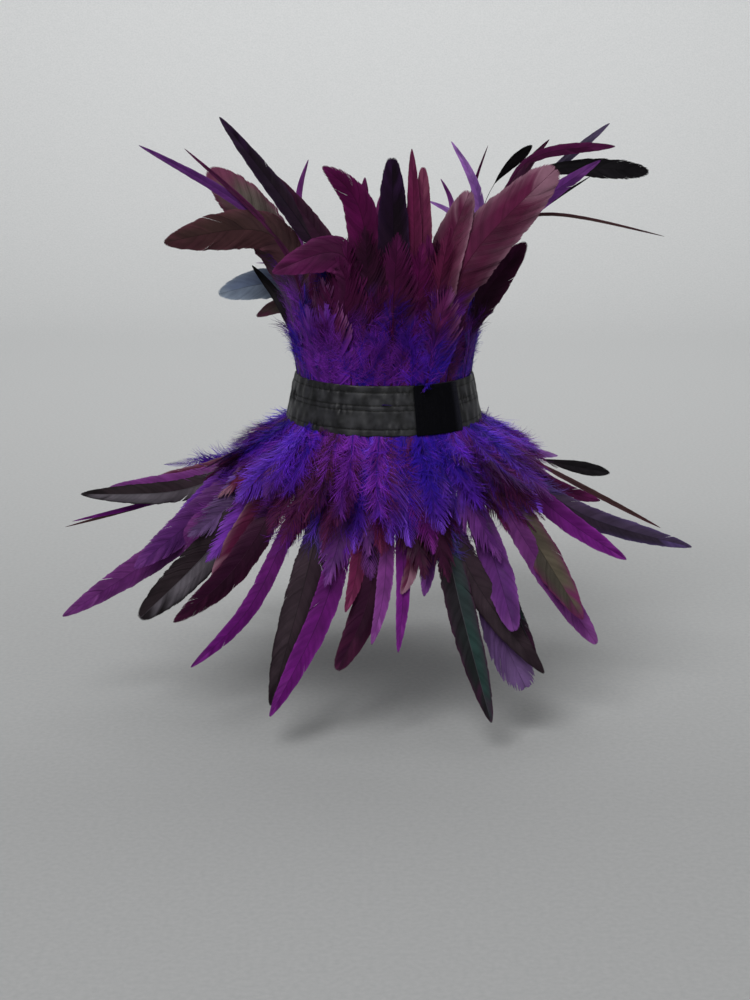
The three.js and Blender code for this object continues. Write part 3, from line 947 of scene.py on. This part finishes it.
class Look:
    """A material in the making: its nodes, and the shader that they lead to."""

    def __init__(self, name):
        self.material = bpy.data.materials.new(name)
        self.material.use_nodes = True
        self.material.node_tree.nodes.clear()
        self.shader = self.node("ShaderNodeBsdfPrincipled")
        self.node("ShaderNodeOutputMaterial", {"Surface": self.shader.outputs["BSDF"]})

    def feed(self, made, inputs):
        """Gives a node's inputs their values, or links them to the outputs of other nodes."""
        for name, value in inputs.items():
            if isinstance(value, bpy.types.NodeSocket):
                self.material.node_tree.links.new(value, made.inputs[name])
            else:
                made.inputs[name].default_value = value

    def node(self, kind, inputs=None, **settings):
        made = self.material.node_tree.nodes.new(kind)
        for name, value in settings.items():
            setattr(made, name, value)
        self.feed(made, inputs or {})
        return made

    def place(self):
        return self.node("ShaderNodeTexCoord").outputs["Object"]

    def field(self, name, output="Fac"):
        return self.node("ShaderNodeAttribute", attribute_name=name).outputs[output]

    def noise(self, scale, detail, vector=None):
        inputs = {"Scale": scale, "Detail": detail, "Vector": self.place() if vector is None else vector}
        return self.node("ShaderNodeTexNoise", inputs).outputs["Fac"]

    def spread(self, value, bottom, top, low=0.3, high=0.7):
        """The value's range from low to high, which suits a noise by default, spread from bottom to top."""
        inputs = {"Value": value, "From Min": low, "From Max": high, "To Min": bottom, "To Max": top}
        return self.node("ShaderNodeMapRange", inputs).outputs["Result"]

    def maths(self, operation, *values):
        return self.node("ShaderNodeMath", dict(enumerate(values)), operation=operation).outputs["Value"]

    def ramp(self, value, low, low_colour, high, high_colour):
        """A colour that goes from one to the other between two values."""
        made = self.node("ShaderNodeValToRGB", {"Fac": value})
        first, last = made.color_ramp.elements
        first.position = low
        first.color = (*low_colour, 1)
        last.position = high
        last.color = (*high_colour, 1)
        return made.outputs["Color"]

    def shaded(self, colour, factor):
        """The colour times a factor."""
        grey = self.node("ShaderNodeCombineColor", {"Red": factor, "Green": factor, "Blue": factor})
        inputs = {"Factor": 1.0, "A": colour, "B": grey.outputs["Color"]}
        return self.node("ShaderNodeMix", inputs, data_type="RGBA", blend_type="MULTIPLY").outputs["Result"]

    def bump(self, height, strength, distance):
        made = self.node("ShaderNodeBump", {"Height": height, "Strength": strength, "Distance": distance})
        self.feed(self.shader, {"Normal": made.outputs["Normal"]})

    def finish(self, inputs):
        self.feed(self.shader, inputs)
        return self.material


def plumage_material(name):
    look = Look(name)
    strand = look.field("strand")
    crown = look.maths("SUBTRACT", 1.0, look.maths("MULTIPLY", strand, strand))
    mottle = look.spread(look.noise(90, 4), 0.82, 1.15)
    # Painted shade: each strip darkens towards its long edges, in the grooves between barbs and on the sides
    # of each shaft
    groove = look.spread(crown, 0.8, 1.0, 0.0, 0.6)
    look.bump(crown, 0.35, 0.0002)
    return look.finish({
        "Base Color": look.shaded(look.field("dye", "Color"), look.maths("MULTIPLY", mottle, groove)),
        "Roughness": look.spread(look.noise(140, 3), 0.42, 0.62),
        "Specular IOR Level": 0.06,
        "Sheen Weight": 0.03,
        "Sheen Roughness": 0.4,
    })


def ribbon_material():
    look = Look("ribbon_satin")
    around = look.field("around")
    up = look.field("up")
    weft = look.maths("SINE", look.maths("MULTIPLY", up, 2 * math.pi / WEFT_PITCH))
    warp = look.maths("SINE", look.maths("MULTIPLY", around, 2 * math.pi / WARP_PITCH))
    weave = look.maths("MULTIPLY", look.maths("ADD", weft, look.maths("MULTIPLY", warp, 0.6)), 0.5)
    cloth_place = look.node("ShaderNodeCombineXYZ", {"X": around, "Y": up}).outputs["Vector"]
    # Broad lighter and darker patches in the satin's colour: partly tone that differs at random, partly
    # painted sheen across the satin
    wear = look.noise(0.13, 6, cloth_place)
    worn_black = look.ramp(wear, 0.3, (0.0012, 0.0013, 0.0016), 0.75, (0.0250, 0.0252, 0.0290))
    top_row = STITCH_ROWS[-1] * BAND_HEIGHT
    hem = look.spread(up, 1.0, 0.6, top_row - 0.3, top_row + 0.3)
    shade = look.maths("MULTIPLY", look.spread(weave, 0.8, 1.2, -1, 1), hem)
    for row in STITCH_ROWS:
        beside = look.maths("ABSOLUTE", look.maths("SUBTRACT", up, row * BAND_HEIGHT))
        shade = look.maths("MULTIPLY", shade, look.spread(beside, 0.3, 1.0, 0.3, 0.7))
    look.bump(weave, 0.30, 0.00008)
    return look.finish({
        "Base Color": look.shaded(worn_black, shade),
        "Roughness": look.spread(wear, 0.38, 0.55),
        "Specular IOR Level": 0.25,
        "Sheen Weight": 0.02,
        "Sheen Roughness": 0.35,
    })


def tab_material():
    look = Look("closure_pile")
    pile = look.noise(1500, 3)
    black = look.ramp(pile, 0.35, (0.0012, 0.0012, 0.0018), 0.7, (0.0036, 0.0036, 0.0050))
    # Painted sheen: the tab's black grows up to seven times lighter over its last six degrees
    worn_from, worn_to = (math.radians(turn) * band_radius(0.5) for turn in (TAB_END - 6, TAB_END))
    worn = look.spread(look.field("around"), 1.0, 7.0, worn_from, worn_to)
    look.bump(pile, 0.2, 0.0002)
    return look.finish({
        "Base Color": look.shaded(black, worn),
        "Roughness": look.spread(pile, 0.55, 0.75),
        "Specular IOR Level": 0.02,
    })


def thread_material():
    look = Look("black_thread")
    twist = look.noise(2200, 2)
    look.bump(twist, 0.3, 0.0001)
    return look.finish({
        "Base Color": look.ramp(twist, 0, (0.004, 0.004, 0.004), 1, (0.014, 0.014, 0.014)),
        "Roughness": look.spread(twist, 0.55, 0.75),
        "Specular IOR Level": 0.1,
    })


def floor_material():
    """A pale finish with painted shade: darkest on the floor a little before the object, and paler with
    distance behind and before it and up the wall, so that no view has a dark ground.
    """
    look = Look("pale_floor")
    grain = look.noise(320, 3)
    pale = look.ramp(grain, 0.3, (0.56, 0.57, 0.57), 0.7, (0.62, 0.625, 0.625))
    place = look.node("ShaderNodeSeparateXYZ", {"Vector": look.place()})
    # Painted shade: the floor darkens round and before the object and lightens behind it and up the wall
    behind = look.maths("ADD", place.outputs["Y"], place.outputs["Z"])
    before = look.maths("SUBTRACT", -2 * DARKEST_FLOOR, place.outputs["Y"])
    away = look.maths("MAXIMUM", behind, before)
    look.bump(grain, 0.15, 0.001)
    return look.finish({
        "Base Color": look.shaded(pale, look.spread(away, 0.42, 1.58, -0.4, 3.2)),
        "Roughness": 0.85,
    })


# Studio

def make_camera():
    camera = add_object("camera", bpy.data.cameras.new("camera"))
    camera.rotation_euler = (math.pi / 2 - VIEW_ELEVATION, 0, 0)
    aside = (FRAME_CENTRE[0] - AXIS_PIXEL[0]) * PIXEL
    above = (AXIS_PIXEL[1] - FRAME_CENTRE[1]) * PIXEL
    camera.location = camera.rotation_euler.to_matrix() @ Vector((aside, above, VIEW_DISTANCE))
    camera.data.lens = LENS
    camera.data.sensor_width = SENSOR
    bpy.context.scene.camera = camera


def make_sweep():
    """A pale floor that curves up into a wall behind the object."""
    front, bend_start, radius, top, half_width = -12.0, 1.6, 1.0, 5.0, 12.0
    turn = np.linspace(0, math.pi / 2, 24)
    depth = np.concatenate([[front], bend_start + radius * np.sin(turn), [bend_start + radius]])
    height = np.concatenate([[0], radius * (1 - np.cos(turn)), [top]]) + FLOOR_HEIGHT
    rows = len(depth)
    left = stacked(-half_width, depth, height)
    right = left * np.array([-1, 1, 1])
    index = np.arange(rows - 1)
    faces = stacked(index, index + rows, index + rows + 1, index + 1)
    mesh = mesh_from_quads("sweep", np.concatenate([left, right]), faces)
    mesh.materials.append(floor_material())
    sweep = add_object("sweep", mesh)
    sweep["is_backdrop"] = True


def make_light(name, place, size, power):
    lamp = bpy.data.lights.new(name, "AREA")
    lamp.size = size
    lamp.energy = power
    light = add_object(name, lamp)
    light.location = place
    light.rotation_euler = (-Vector(place)).to_track_quat("-Z", "Y").to_euler()


def make_studio():
    make_camera()
    make_sweep()
    world = bpy.data.worlds.new("soft_room")
    world.use_nodes = True
    background = world.node_tree.nodes["Background"]
    background.inputs["Color"].default_value = (0.98, 0.99, 1.0, 1)
    background.inputs["Strength"].default_value = 0.27
    bpy.context.scene.world = world
    make_light("key", (-0.7, -1.5, 1.9), 1.2, 54)
    make_light("fill", (1.6, -1.4, 0.9), 1.6, 12)
    make_light("top", (0.2, 0.7, 2.0), 1.4, 20)
    bpy.context.scene.view_settings.view_transform = "Standard"


# Assembly

def make_band():
    creases = Creases(np.random.default_rng(BAND_SEED))
    satin = ribbon_material()
    make_ribbon("outer_ribbon", creases, 0.0, False, satin)
    make_ribbon("inner_ribbon", creases, RIBBON + SLOT, True, satin)
    make_stitches(creases, thread_material())
    make_tab(creases, tab_material())


def new_ruff(ruff, downs, loft):
    """The plumage of a ruff: its single feathers, and the fill of its front and of its back."""
    shared = (f"{ruff}_feathers", f"{ruff}_plumage", downs, loft)
    plumes = Plumage(f"{ruff}_plumes", *shared)
    front = Plumage(f"{ruff}_fill_front", *shared)
    back = Plumage(f"{ruff}_fill_back", *shared, BACK_COARSENESS)
    return plumes, front, back


def build_ruff(ruff, plumages):
    finish = plumage_material(f"{ruff}_dyed_feather")
    for plumage in plumages:
        plumage.build(finish)


def make_upper_ruff(rng):
    plumes, front, back = new_ruff("upper", UPPER_DOWN, UPPER_LOFT)
    add_rows(plumes, rng, UPPER_ROWS, rising_shaft)
    add_rows(back, rng, paired_rows(UPPER_BACK_RISE, UPPER_BACK_PAIRS), rising_shaft)
    add_webs(front, rng)
    add_fill(front, back, rng, UPPER_FILL, UPPER_ZONES, wall_fill_shaft)
    add_tufts(front, np.random.default_rng(TUFT_SEED))
    build_ruff("upper", (plumes, front, back))


def make_lower_ruff(rng):
    plumes, front, back = new_ruff("lower", LOWER_DOWN, LOWER_LOFT)
    add_rows(plumes, rng, LOWER_ROWS, falling_shaft)
    add_rows(back, rng, paired_rows(LOWER_BACK_RISE, LOWER_BACK_PAIRS), falling_shaft)
    add_fill(front, back, rng, LOWER_FILL, LOWER_ZONES, skirt_fill_shaft)
    build_ruff("lower", (plumes, front, back))


make_studio()
make_band()
feather_rng = np.random.default_rng(FEATHER_SEED)
make_upper_ruff(feather_rng)
make_lower_ruff(feather_rng)

bpy.context.view_layer.update()
sizes = {
    "cad": [list(corner) for corner in cad_box],
    "visual": [list(corner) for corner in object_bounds()],
}
